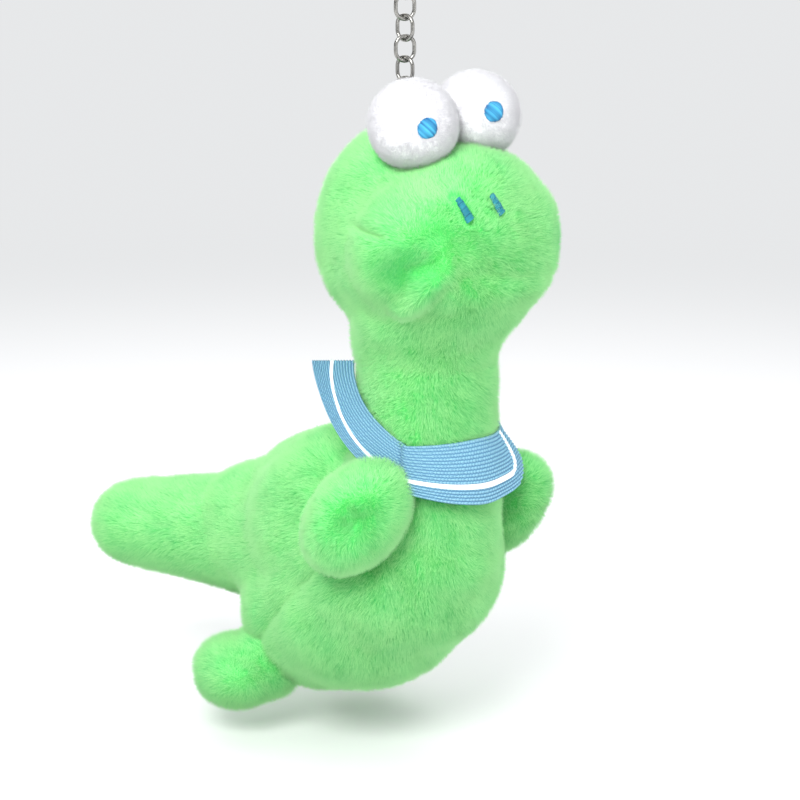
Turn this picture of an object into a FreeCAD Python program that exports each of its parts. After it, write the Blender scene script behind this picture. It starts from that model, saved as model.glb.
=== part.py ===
import FreeCAD, Part
import os
import Sketcher
from FreeCAD import Placement, Rotation, Vector

# Plush keychain: a small stuffed dinosaur hanging from a steel link chain on a split ring.
# Frame: origin at the centre of the key ring, +Z up, the toy hangs down and faces -Y.
# Every length is in millimetres. The plush is measured from its own datum, a point on the
# neck's axis near the ground, and plush_forward and plush_drop carry it under the ring.

os.makedirs("parts", exist_ok=True)
doc = FreeCAD.newDocument("plush_keychain")
sheet = doc.addObject("Spreadsheet::Sheet", "Sizes")

SIZES = {
    # key ring: a flat split ring of two turns
    "ring_outer_radius": 12.5,
    "ring_inner_radius": 10.6,
    "ring_thickness": 2.1,
    "ring_edge_round": 0.3,
    "ring_slit": 0.14,
    "ring_slit_angle": 322,
    "ring_end_gap": 1.0,
    # chain of oval links bent from round wire
    "link_bend_radius": 2.25,
    "link_straight": 1.2,
    "wire_radius": 0.45,
    "chain_top": -9.65,
    "chain_pitch": 4.75,
    "link_turn_odd": -82,
    "link_turn_even": -22,
    # where the plush hangs
    "plush_forward": 7.7,
    "plush_drop": 189.2,
    # fabric
    "cover": 1.2,
    "gap": 0.15,
    "seam": 0.12,
    "centre_seam_side": 0.0,
    # hanging loop of round cord, sewn into the crown
    "loop_radius": 2.2,
    "cord_radius": 0.6,
    "loop_centre_up": 139.5,
    "loop_leg": 11.5,
    # neck joint and the joints of the limbs
    "joint_play": 0.3,
    "neck_radius": 14.1,
    "neck_pivot_up": 81.0,
    "neck_start_up": 30.0,
    "arm_pivot_side": 14.0,
    "arm_pivot_back": 1.5,
    "arm_pivot_up": 47.0,
    "arm_ball": 6.3,
    "arm_lobe": 9.3,
    "arm_lobe_side": 25.6,
    "arm_lobe_back": -3.0,
    "arm_lobe_up": 44.8,
    "foot_pivot_side": 13.0,
    "foot_pivot_back": 40.8,
    "foot_pivot_up": 5.5,
    "foot_ball": 6.0,
    "foot_lobe": 8.6,
    "foot_lobe_side": 20.5,
    "foot_lobe_back": 45.0,
    "foot_lobe_up": -0.8,
    "tail_pivot_side": -6.0,
    "tail_pivot_back": 58.0,
    "tail_pivot_up": 29.0,
    "tail_ball": 12.6,
    "tail_turn": 20.0,
    "tail_rim": 3.6,
    # eyes and embroidery
    "eye_radius": 9.6,
    "eye_side": 9.75,
    "eye_back": -5.6,
    "eye_up": 138.2,
    "pupil_half_width": 2.2,
    "pupil_half_height": 2.5,
    "stitch_height": 0.5,
    "nostril_width": 1.9,
    "nostril_height": 6.6,
    "nostril_side_right": -8.2,
    "nostril_side_left": 0.1,
    "nostril_up": 120.4,
    # panel lines of the head
    "muzzle_line_back": -5.0,
    "mouth_up": 99.5,
    # collar: a woven band round the neck, low in front and high at the nape
    "collar_inner_radius": 18.2,
    "collar_outer_radius": 24.8,
    "collar_fall": 11.3,
    "collar_thickness": 0.9,
    "collar_back": 1.5,
    "collar_up": 72.5,
    "collar_tilt": 25.0,
    "collar_angle": 336.0,
    "stripe_width": 1.6,
    "stripe_margin": 2.2,
    "stripe_thickness": 0.25,
}

# Soft forms: centre (side, back, up) from the plush datum, then half sizes across, deep and tall.
FORMS = {
    "cranium": ((0, 6.0, 110.0), (19.3, 18.8, 24.3)),
    "muzzle": ((0, -9.5, 111.5), (26.3, 15.3, 17.8)),
    "jaw": ((0, -10.5, 98.0), (19.8, 13.3, 8.3)),
    "belly": ((0, 14.0, 24.0), (24.8, 24.8, 23.3)),
    "back": ((0, 28.0, 38.5), (20.8, 25.8, 20.8)),
    "haunch": ((0, 34.0, 17.0), (19.8, 17.8, 17.8)),
    "rump": ((-3.0, 50.0, 29.0), (12.8, 21.8, 13.3)),
    "tail_mid": ((-10.5, 70.0, 28.3), (11.8, 18.0, 12.1)),
    "tail_tip": ((-17.0, 88.0, 28.3), (10.3, 12.8, 9.8)),
}

for name, (centre, radii) in FORMS.items():
    for word, number in zip(("side", "back", "up"), centre):
        SIZES[name + "_at_" + word] = number
    for word, number in zip(("across", "deep", "tall"), radii):
        SIZES[name + "_half_" + word] = number

for row, (name, number) in enumerate(SIZES.items(), start=1):
    sheet.set("A%d" % row, name)
    sheet.set("B%d" % row, str(number))
    sheet.setAlias("B%d" % row, name)
doc.recompute()

RIGHT = -1
LEFT = 1
SIDES = (("right", RIGHT), ("left", LEFT))
parts = []


def size(text):
    """Turn words such as 'cover + gap' into an expression on the sheet."""
    words = text.replace("(", " ( ").replace(")", " ) ").split()
    return " ".join("Sizes." + word if word in SIZES else word for word in words)


def tie(thing, **properties):
    for name, text in properties.items():
        thing.setExpression(name, size(text))
    return thing


def put(thing, side="0", back="0", up="0", turn=None, on_plush=True):
    """Place a form at a point given from the plush datum, or from the ring's centre."""
    if turn is not None:
        thing.Placement = Placement(Vector(0, 0, 0), turn)
    if on_plush:
        back = back + " - plush_forward"
        up = up + " - plush_drop"
    thing.setExpression("Placement.Base.x", size(side))
    thing.setExpression("Placement.Base.y", size(back))
    thing.setExpression("Placement.Base.z", size(up))
    return thing


def finish(name, thing):
    thing.Label = name
    parts.append((name, thing))
    return thing


def cut(name, base, tool):
    result = doc.addObject("Part::Cut", name)
    result.Base = base
    result.Tool = tool
    return result


def cut_each(name, base, tools):
    """Cut the tools one after another; the last result carries the name."""
    for index, tool in enumerate(tools, start=1):
        base = cut(name if index == len(tools) else "%s_step%d" % (name, index), base, tool)
    return base


def fuse(name, shapes):
    result = doc.addObject("Part::MultiFuse", name)
    result.Shapes = shapes
    return result


def common(name, shapes):
    result = doc.addObject("Part::MultiCommon", name)
    result.Shapes = shapes
    return result


def ball(name, radius, side, back, up, pole=Vector(0, 0, 1)):
    sphere = tie(doc.addObject("Part::Sphere", name), Radius=radius)
    return put(sphere, side, back, up, Rotation(Vector(0, 0, 1), pole))


def form(name, source, shrink="0", turn=None):
    """One of the soft forms, its surface moved inwards by the length 'shrink'."""
    egg = doc.addObject("Part::Ellipsoid", name)
    tie(egg, Radius2=source + "_half_across - ( " + shrink + " )")
    tie(egg, Radius3=source + "_half_deep - ( " + shrink + " )")
    tie(egg, Radius1=source + "_half_tall - ( " + shrink + " )")
    return put(egg, source + "_at_side", source + "_at_back", source + "_at_up", turn)


def block(name, corner, lengths, turn=None):
    """A box used to divide panels; corner and lengths are in the plush's words."""
    box = doc.addObject("Part::Box", name)
    tie(box, Length=lengths[0], Width=lengths[1], Height=lengths[2])
    return put(box, corner[0], corner[1], corner[2], turn)


def origin_plane(body, role):
    return [plane for plane in body.Origin.OriginFeatures if plane.Role == role][0]


def new_sketch(body, name, role):
    sketch = body.newObject("Sketcher::SketchObject", name)
    sketch.AttachmentSupport = [(origin_plane(body, role), "")]
    sketch.MapMode = "FlatFace"
    return sketch


def closed_outline(sketch, corners):
    """Draw a closed run of straight lines whose corners are sheet words (x, y)."""
    count = len(corners)
    for index in range(count):
        start = Vector(index, index * 0.5, 0)
        end = Vector(index + 1, index * 0.5 + 1, 0)
        sketch.addGeometry(Part.LineSegment(start, end), False)
    for index in range(count):
        sketch.addConstraint(Sketcher.Constraint("Coincident", index, 2, (index + 1) % count, 1))
    for index, (across, height) in enumerate(corners):
        for kind, text in (("DistanceX", across), ("DistanceY", height)):
            label = "corner%d_%s" % (index, kind[-1].lower())
            sketch.addConstraint(Sketcher.Constraint(kind, -1, 1, index, 1, 1.0))
            sketch.renameConstraint(sketch.ConstraintCount - 1, label)
            sketch.setExpression("Constraints." + label, size(text))


# ---------------------------------------------------------------- metal

def make_key_ring():
    body = doc.addObject("PartDesign::Body", "key_ring")
    section = new_sketch(body, "ring_section", "YZ_Plane")
    low = "0 - ring_outer_radius"
    high = "0 - ring_inner_radius"
    half = "ring_thickness / 2"
    closed_outline(section, [("0 - " + half, low), (half, low), (half, high), ("0 - " + half, high)])
    turn = body.newObject("PartDesign::Revolution", "ring_turn")
    turn.Profile = section
    turn.ReferenceAxis = (section, ["H_Axis"])
    turn.Angle = 360
    doc.recompute()
    rounded = body.newObject("PartDesign::Fillet", "ring_rounding")
    edges = ["Edge%d" % (i + 1) for i, e in enumerate(turn.Shape.Edges) if "Circle" in str(e.Curve)]
    rounded.Base = (turn, edges)
    tie(rounded, Radius="ring_edge_round")
    slit = new_sketch(body, "ring_slit_section", "YZ_Plane")
    low = "0 - ring_outer_radius - 1"
    high = "0 - ring_inner_radius + 1"
    half = "ring_slit / 2"
    closed_outline(slit, [("0 - " + half, low), (half, low), (half, high), ("0 - " + half, high)])
    groove = body.newObject("PartDesign::Groove", "ring_turns_part")
    groove.Profile = slit
    groove.ReferenceAxis = (slit, ["H_Axis"])
    groove.Midplane = True
    tie(groove, Angle="ring_slit_angle")
    doc.recompute()
    # each turn of the wire ends in a short open gap beside the crossing at the top
    for index, (name, direction) in enumerate((("front_end", -1), ("rear_end", 1))):
        end = new_sketch(body, name + "_gap", "XZ_Plane")
        shift = "0 - 4.6" if direction < 0 else "4.6 - ring_end_gap"
        left = shift
        right = shift + " + ring_end_gap"
        floor = "ring_inner_radius - 2"
        top = "ring_outer_radius + 1"
        closed_outline(end, [(left, floor), (right, floor), (right, top), (left, top)])
        pocket = body.newObject("PartDesign::Pocket", name)
        pocket.Profile = end
        pocket.Reversed = direction < 0
        tie(pocket, Length="ring_thickness")
        doc.recompute()
    return finish("key_ring", body)


def make_link(number):
    name = "chain_link_%d" % number
    body = doc.addObject("PartDesign::Body", name)
    path = new_sketch(body, name + "_path", "XZ_Plane")
    up = Vector(0, 0.6, 0)
    path.addGeometry(Part.ArcOfCircle(Part.Circle(up, Vector(0, 0, 1), 2.25), 0, 3.14159265), False)
    path.addGeometry(Part.LineSegment(Vector(-2.25, 0.6, 0), Vector(-2.25, -0.6, 0)), False)
    path.addGeometry(Part.ArcOfCircle(Part.Circle(up * -1, Vector(0, 0, 1), 2.25), 3.14159265, 6.2831853), False)
    path.addGeometry(Part.LineSegment(Vector(2.25, -0.6, 0), Vector(2.25, 0.6, 0)), False)
    for first, first_end, second, second_end in ((0, 2, 1, 1), (1, 2, 2, 1), (2, 2, 3, 1), (3, 2, 0, 1)):
        path.addConstraint(Sketcher.Constraint("Tangent", first, first_end, second, second_end))
    path.addConstraint(Sketcher.Constraint("Vertical", 1))
    path.addConstraint(Sketcher.Constraint("Symmetric", 0, 3, 2, 3, -1, 1))
    path.addConstraint(Sketcher.Constraint("Radius", 0, 2.25))
    path.renameConstraint(path.ConstraintCount - 1, "bend")
    path.setExpression("Constraints.bend", size("link_bend_radius"))
    path.addConstraint(Sketcher.Constraint("DistanceY", 3, 1, 3, 2, 1.2))
    path.renameConstraint(path.ConstraintCount - 1, "straight")
    path.setExpression("Constraints.straight", size("link_straight"))
    wire = new_sketch(body, name + "_wire", "XY_Plane")
    wire.addGeometry(Part.Circle(Vector(2.25, 0, 0), Vector(0, 0, 1), 0.45), False)
    wire.addConstraint(Sketcher.Constraint("PointOnObject", 0, 3, -1))
    wire.addConstraint(Sketcher.Constraint("DistanceX", -1, 1, 0, 3, 2.25))
    wire.renameConstraint(wire.ConstraintCount - 1, "reach")
    wire.setExpression("Constraints.reach", size("link_bend_radius"))
    wire.addConstraint(Sketcher.Constraint("Radius", 0, 0.45))
    wire.renameConstraint(wire.ConstraintCount - 1, "thickness")
    wire.setExpression("Constraints.thickness", size("wire_radius"))
    doc.recompute()
    pipe = body.newObject("PartDesign::AdditivePipe", name + "_bend")
    pipe.Profile = wire
    pipe.Spine = (path, ["Edge1", "Edge2", "Edge3", "Edge4"])
    word = "link_turn_odd" if number % 2 else "link_turn_even"
    body.Placement = Placement(Vector(0, 0, 0), Rotation(Vector(0, 0, 1), SIZES[word]))
    drop = "chain_top - chain_pitch * %d - link_bend_radius - link_straight / 2" % (number - 1)
    put(body, up=drop, on_plush=False)
    return finish(name, body)


def loop_form(name, radius):
    """The cord's U: a half turn with two legs running down into the crown."""
    arch = doc.addObject("Part::Torus", name + "_arch")
    tie(arch, Radius1="loop_radius", Radius2=radius)
    arch.Angle3 = 180
    put(arch, "0", "plush_forward", "loop_centre_up", Rotation(Vector(0, 1, 0), Vector(0, 0, 1), Vector(1, 0, 0)))
    legs = []
    for index, sign in enumerate(("-", "+")):
        leg = doc.addObject("Part::Cylinder", name + "_leg%d" % index)
        tie(leg, Radius=radius, Height="loop_leg")
        put(leg, "0", "plush_forward " + sign + " loop_radius", "loop_centre_up - loop_leg")
        legs.append(leg)
    return fuse(name, [arch] + legs)


# ---------------------------------------------------------------- head

def head_form(name, shrink):
    return fuse(name, [form(name + "_" + part, part, shrink) for part in ("cranium", "muzzle", "jaw")])


def eye_ball(name, radius, side):
    sideways = "eye_side" if side == LEFT else "0 - eye_side"
    return ball(name, radius, sideways, "eye_back", "eye_up")


def head_openings():
    """Everything that sits in the head: both eyes, the neck's rounded top and the cord."""
    eyes = [eye_ball("eye_seat_" + word, "eye_radius + gap", side) for word, side in SIDES]
    neck = ball("neck_socket", "neck_radius + joint_play", "0", "0", "neck_pivot_up")
    cord = loop_form("cord_holes", "cord_radius + gap")
    return eyes + [neck, cord]


def make_head():
    openings = head_openings()
    skin = cut("head_shell", head_form("head_outside", "0"), head_form("head_inside", "cover"))
    skin = cut_each("head_skin", skin, openings)
    front = "muzzle_line_back - 60"
    regions = {
        "muzzle_panel": block("muzzle_side", ("-40", front, "mouth_up"), ("80", "60", "60")),
        "chin_panel": block("chin_side", ("-40", front, "mouth_up - seam - 40"), ("80", "60", "40")),
        "head_side_right": block("head_right_half", ("-40 - seam / 2", "muzzle_line_back + seam", "70"),
                                 ("40", "60", "80")),
        "head_side_left": block("head_left_half", ("seam / 2", "muzzle_line_back + seam", "70"),
                                ("40", "60", "80")),
    }
    for name, region in regions.items():
        finish(name, common(name, [skin, region]))
    stuffing = cut_each("head_filling", head_form("head_stuffing", "cover + gap"), openings)
    finish("head_filling", stuffing)


def make_eyes():
    looks = {"right": Vector(-0.40, -0.92, 0.03), "left": Vector(-0.31, -0.93, 0.19)}
    for word, side in SIDES:
        outside = eye_ball("eye_outside_" + word, "eye_radius", side)
        inside = eye_ball("eye_inside_" + word, "eye_radius - cover", side)
        finish("eye_cover_" + word, cut("eye_cover_" + word, outside, inside))
        finish("eye_filling_" + word, eye_ball("eye_filling_" + word, "eye_radius - cover - gap", side))
        # the pupil is a raised patch of stitches, cut from a thin layer over the eye
        layer = cut("pupil_layer_" + word,
                    eye_ball("pupil_top_" + word, "eye_radius + stitch_height", side),
                    eye_ball("pupil_base_" + word, "eye_radius + seam / 4", side))
        patch = doc.addObject("Part::Ellipse", "pupil_outline_" + word)
        tie(patch, MajorRadius="pupil_half_height", MinorRadius="pupil_half_width")
        sideways = "eye_side" if side == LEFT else "0 - eye_side"
        turn = Rotation(Vector(0, 0, 1), Vector(0, 0, 1), looks[word], "ZXY")
        put(patch, sideways, "eye_back", "eye_up", turn)
        column = doc.addObject("Part::Extrusion", "pupil_column_" + word)
        column.Base = patch
        column.DirMode = "Custom"
        column.Dir = looks[word]
        column.LengthFwd = 14
        column.Solid = True
        finish("pupil_" + word, common("pupil_" + word, [layer, column]))


def make_nostrils():
    top = form("nostril_top", "muzzle", "0 - stitch_height")
    base = form("nostril_base", "muzzle", "0 - seam / 4")
    layer = cut("nostril_layer", top, base)
    for word, side in SIDES:
        sideways = "nostril_side_" + word + " - nostril_width / 2"
        bar = block("nostril_bar_" + word, (sideways, "-40", "nostril_up - nostril_height / 2"),
                    ("nostril_width", "30", "nostril_height"))
        finish("nostril_" + word, common("nostril_" + word, [layer, bar]))


# ---------------------------------------------------------------- torso

TAIL_TURN = Rotation(Vector(0, 0, 1), SIZES["tail_turn"])
BACK_TURN = Rotation(Vector(1, 0, 0), -25)


def neck_form(name, shrink):
    column = doc.addObject("Part::Cylinder", name + "_column")
    tie(column, Radius="neck_radius - ( " + shrink + " )", Height="neck_pivot_up - neck_start_up")
    put(column, "0", "0", "neck_start_up")
    top = ball(name + "_top", "neck_radius - ( " + shrink + " )", "0", "0", "neck_pivot_up")
    return [column, top]


def torso_form(name, shrink):
    shapes = neck_form(name + "_neck", shrink)
    shapes.append(form(name + "_belly", "belly", shrink))
    shapes.append(form(name + "_back", "back", shrink, turn=BACK_TURN))
    shapes.append(form(name + "_haunch", "haunch", shrink))
    shapes.append(form(name + "_rump", "rump", shrink, turn=TAIL_TURN))
    return fuse(name, shapes)


def limb_pivot(limb, side):
    sideways = limb + "_pivot_side" if side == LEFT else "0 - " + limb + "_pivot_side"
    return sideways, limb + "_pivot_back", limb + "_pivot_up"


def torso_openings():
    """Round sockets for the limbs, and the open end behind which the tail begins."""
    tools = []
    for limb in ("arm", "foot"):
        for word, side in SIDES:
            radius = limb + "_ball + joint_play"
            tools.append(ball(limb + "_socket_" + word, radius, *limb_pivot(limb, side), Vector(side, 0, 0)))
    tail = ball("tail_socket", "tail_ball + joint_play", "tail_pivot_side", "tail_pivot_back", "tail_pivot_up")
    behind = doc.addObject("Part::Box", "behind_tail_seam")
    tie(behind, Length="80", Width="40", Height="80")
    shift = TAIL_TURN.multVec(Vector(-40, -SIZES["tail_rim"], -40))
    put(behind, "tail_pivot_side + (%.4f)" % shift.x, "tail_pivot_back + (%.4f)" % shift.y,
        "tail_pivot_up + (%.4f)" % shift.z, TAIL_TURN)
    return tools + [tail, behind]


def make_torso():
    openings = torso_openings()
    skin = cut("torso_shell", torso_form("torso_outside", "0"), torso_form("torso_inside", "cover"))
    skin = cut_each("torso_skin", skin, openings)
    # the belly panel's edge runs from the armpits back and down to the hips
    lean = Rotation(Vector(1, 0, 0), -44)
    shift = lean.multVec(Vector(-40, -60, -60))
    corner = ("0 + (%.4f)" % shift.x, "10 + (%.4f)" % shift.y, "33 + (%.4f)" % shift.z)
    below = block("belly_side", corner, ("80", "130", "60"), lean)
    above_seam = block("belly_seam", corner, ("80", "130", "60 + seam"), lean)
    finish("belly_panel", common("belly_panel", [skin, below]))
    upper = cut("torso_upper_skin", skin, above_seam)
    right = block("torso_right_half", ("centre_seam_side - seam / 2 - 60", "-60", "-40"), ("60", "180", "180"))
    left = block("torso_left_half", ("centre_seam_side + seam / 2", "-60", "-40"), ("60", "180", "180"))
    finish("torso_side_right", common("torso_side_right", [upper, right]))
    finish("torso_side_left", common("torso_side_left", [upper, left]))
    stuffing = cut_each("torso_filling", torso_form("torso_stuffing", "cover + gap"), openings)
    finish("torso_filling", stuffing)


# ---------------------------------------------------------------- limbs and tail

def limb_form(name, limb, side, shrink):
    """A round lobe on a smaller ball, which is the root that turns in the torso's socket."""
    sideways = limb + "_lobe_side" if side == LEFT else "0 - " + limb + "_lobe_side"
    steps = [SIZES[limb + "_lobe_" + word] - SIZES[limb + "_pivot_" + word] for word in ("side", "back", "up")]
    outwards = Vector(steps[0] * side, steps[1], steps[2])
    root = ball(name + "_root", limb + "_ball - ( " + shrink + " )", *limb_pivot(limb, side), outwards)
    lobe = ball(name + "_lobe", limb + "_lobe - ( " + shrink + " )",
                sideways, limb + "_lobe_back", limb + "_lobe_up", outwards)
    return fuse(name, [root, lobe])


def make_arms():
    for word, side in SIDES:
        outside = limb_form("arm_outside_" + word, "arm", side, "0")
        inside = limb_form("arm_inside_" + word, "arm", side, "cover")
        finish("arm_cover_" + word, cut("arm_cover_" + word, outside, inside))
        finish("arm_filling_" + word, limb_form("arm_filling_" + word, "arm", side, "cover + gap"))


def make_feet():
    for word, side in SIDES:
        outside = limb_form("foot_outside_" + word, "foot", side, "0")
        inside = limb_form("foot_inside_" + word, "foot", side, "cover")
        skin = cut("foot_skin_" + word, outside, inside)
        upper = block("foot_top_" + word, ("-60", "0", "foot_lobe_up"), ("120", "90", "40"))
        lower = block("foot_bottom_" + word, ("-60", "0", "foot_lobe_up - seam - 40"), ("120", "90", "40"))
        finish("foot_upper_" + word, common("foot_upper_" + word, [skin, upper]))
        finish("foot_sole_" + word, common("foot_sole_" + word, [skin, lower]))
        finish("foot_filling_" + word, limb_form("foot_filling_" + word, "foot", side, "cover + gap"))


def tail_form(name, shrink):
    root = ball(name + "_root", "tail_ball - ( " + shrink + " )",
                "tail_pivot_side", "tail_pivot_back", "tail_pivot_up")
    middle = form(name + "_middle", "tail_mid", shrink, turn=TAIL_TURN)
    tip = form(name + "_tip", "tail_tip", shrink, turn=Rotation(Vector(0, 0, 1), 30))
    return fuse(name, [root, middle, tip])


def make_tail():
    skin = cut("tail_skin", tail_form("tail_outside", "0"), tail_form("tail_inside", "cover"))
    # the tail is two mirrored panels sewn along its top and bottom
    for word, side in SIDES:
        corner = Vector(-60, -40, -40) if side == RIGHT else Vector(SIZES["seam"], -40, -40)
        shift = TAIL_TURN.multVec(corner)
        half = doc.addObject("Part::Box", "tail_half_" + word)
        tie(half, Length="60", Width="140", Height="80")
        put(half, "tail_pivot_side + (%.4f)" % shift.x, "tail_pivot_back + (%.4f)" % shift.y,
            "tail_pivot_up + (%.4f)" % shift.z, TAIL_TURN)
        finish("tail_side_" + word, common("tail_side_" + word, [skin, half]))
    finish("tail_filling", tail_form("tail_filling", "cover + gap"))


# ---------------------------------------------------------------- collar

def make_collar():
    """A flaring woven band turned about the neck, open at the nape, with a stripe on top."""
    run = SIZES["collar_outer_radius"] - SIZES["collar_inner_radius"]
    length = (run ** 2 + SIZES["collar_fall"] ** 2) ** 0.5
    tilt = Rotation(Vector(1, 0, 0), SIZES["collar_tilt"])
    face = tilt.multiply(Rotation(Vector(0, 0, 1), -90))
    band = doc.addObject("PartDesign::Body", "collar")
    outline = new_sketch(band, "collar_section", "XZ_Plane")
    closed_outline(outline, [
        ("collar_inner_radius", "0"),
        ("collar_outer_radius", "0 - collar_fall"),
        ("collar_outer_radius + collar_thickness", "0 - collar_fall"),
        ("collar_inner_radius + collar_thickness", "0"),
    ])
    turn = band.newObject("PartDesign::Revolution", "collar_turn")
    turn.Profile = outline
    turn.ReferenceAxis = (outline, ["V_Axis"])
    turn.Midplane = True
    tie(turn, Angle="collar_angle")
    stripe = doc.addObject("PartDesign::Body", "collar_stripe")
    outline = new_sketch(stripe, "stripe_section", "XZ_Plane")
    near = 1 - (SIZES["stripe_margin"] + SIZES["stripe_width"]) / length
    far = 1 - SIZES["stripe_margin"] / length
    reach = "collar_inner_radius + (collar_outer_radius - collar_inner_radius) * %.4f + collar_thickness"
    fall = "0 - collar_fall * %.4f"
    closed_outline(outline, [
        (reach % near + " + 0.02", fall % near),
        (reach % far + " + 0.02", fall % far),
        (reach % far + " + stripe_thickness", fall % far),
        (reach % near + " + stripe_thickness", fall % near),
    ])
    turn = stripe.newObject("PartDesign::Revolution", "stripe_turn")
    turn.Profile = outline
    turn.ReferenceAxis = (outline, ["V_Axis"])
    turn.Midplane = True
    tie(turn, Angle="collar_angle")
    for name, body in (("collar", band), ("collar_stripe", stripe)):
        put(body, "0", "collar_back", "collar_up", face)
        finish(name, body)


make_key_ring()
for number in range(1, 9):
    make_link(number)
finish("hanging_loop", loop_form("hanging_loop", "cord_radius"))
make_head()
make_eyes()
make_nostrils()
make_torso()
make_collar()
make_arms()
make_feet()
make_tail()
doc.recompute()

faults = [thing.Label for thing in doc.Objects if "Invalid" in thing.State or "Error" in thing.State]
for name, thing in parts:
    shape = thing.Shape
    if shape.isNull() or not shape.isValid() or len(shape.Solids) != 1:
        faults.append("%s has %d solids" % (name, len(shape.Solids)))
if faults:
    raise SystemExit("not sound: " + ", ".join(faults))
for name, thing in parts:
    thing.Shape.exportStep("parts/%s.step" % name)
print(len(parts), "sub-parts written")
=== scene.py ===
import math

import bpy
import numpy as np
from mathutils import Matrix, Vector


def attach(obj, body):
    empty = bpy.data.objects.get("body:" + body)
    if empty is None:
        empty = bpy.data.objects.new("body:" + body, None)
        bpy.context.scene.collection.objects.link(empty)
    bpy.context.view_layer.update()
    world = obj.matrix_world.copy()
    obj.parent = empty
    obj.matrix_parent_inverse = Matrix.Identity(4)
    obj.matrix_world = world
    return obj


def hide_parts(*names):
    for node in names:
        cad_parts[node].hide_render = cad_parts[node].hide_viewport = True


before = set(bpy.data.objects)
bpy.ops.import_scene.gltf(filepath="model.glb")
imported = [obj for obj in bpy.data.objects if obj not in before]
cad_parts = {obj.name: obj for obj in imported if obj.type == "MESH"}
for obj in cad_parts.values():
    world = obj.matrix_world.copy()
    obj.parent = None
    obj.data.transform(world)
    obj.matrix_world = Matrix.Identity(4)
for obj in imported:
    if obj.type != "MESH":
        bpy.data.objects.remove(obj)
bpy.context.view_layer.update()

# The plush is drawn in millimetres from its own datum, a point on the neck's axis near the
# ground: x to the toy's left, y to its back, z up. DATUM carries it under the key ring.
DATUM = np.array([0.0, -7.7, -189.2])
PILE = 2.0
SOFT = 0.62
rng = np.random.default_rng(7)


def to_frame(points):
    return (np.asarray(points, float) + DATUM) / 1000.0


# ------------------------------------------------------------------ small helpers

def unit(v):
    v = np.asarray(v, float)
    return v / np.maximum(np.linalg.norm(v, axis=-1, keepdims=True), 1e-9)


class Waves:
    """Smooth random field: a sum of sines, used for clumps, dents and colour patches."""

    def __init__(self, size, seed, count=7):
        random = np.random.default_rng(seed)
        self.k = unit(random.normal(size=(count, 3))) * (2 * math.pi / size) * random.uniform(0.6, 1.5, (count, 1))
        self.phase = random.uniform(0, 2 * math.pi, count)

    def __call__(self, points):
        return np.sin(points @ self.k.T + self.phase).sum(1) / math.sqrt(len(self.phase))


def mesh_object(name, points, faces, smooth=True):
    """An object in the row frame from points in plush millimetres."""
    mesh = bpy.data.meshes.new(name)
    mesh.from_pydata([tuple(p) for p in to_frame(points)], [], [tuple(f) for f in faces])
    mesh.update()
    mesh.polygons.foreach_set("use_smooth", [smooth] * len(mesh.polygons))
    thing = bpy.data.objects.new(name, mesh)
    bpy.context.collection.objects.link(thing)
    return thing


def big_mesh(name, points, triangles):
    """The same for many thousands of triangles, points already in plush millimetres."""
    mesh = bpy.data.meshes.new(name)
    mesh.vertices.add(len(points))
    mesh.vertices.foreach_set("co", to_frame(points).astype(np.float32).ravel())
    mesh.loops.add(len(triangles) * 3)
    mesh.loops.foreach_set("vertex_index", triangles.astype(np.int32).ravel())
    mesh.polygons.add(len(triangles))
    mesh.polygons.foreach_set("loop_start", np.arange(0, len(triangles) * 3, 3, dtype=np.int32))
    mesh.update(calc_edges=True)
    thing = bpy.data.objects.new(name, mesh)
    bpy.context.collection.objects.link(thing)
    return thing


def apply_modifiers(thing):
    graph = bpy.context.evaluated_depsgraph_get()
    done = bpy.data.meshes.new_from_object(thing.evaluated_get(graph))
    thing.modifiers.clear()
    old = thing.data
    thing.data = done
    bpy.data.meshes.remove(old)
    return thing


def coordinates(thing):
    """Vertices (plush millimetres) and vertex normals."""
    mesh = thing.data
    points = np.empty(len(mesh.vertices) * 3)
    mesh.vertices.foreach_get("co", points)
    normals = np.array([n.vector[:] for n in mesh.vertex_normals])
    return points.reshape(-1, 3) * 1000.0 - DATUM, normals


def move_points(thing, points):
    thing.data.vertices.foreach_set("co", to_frame(points).ravel())
    thing.data.update()


# ------------------------------------------------------------------ materials

def node(tree, kind, **settings):
    made = tree.nodes.new(kind)
    for key, value in settings.items():
        setattr(made, key, value)
    return made


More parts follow.
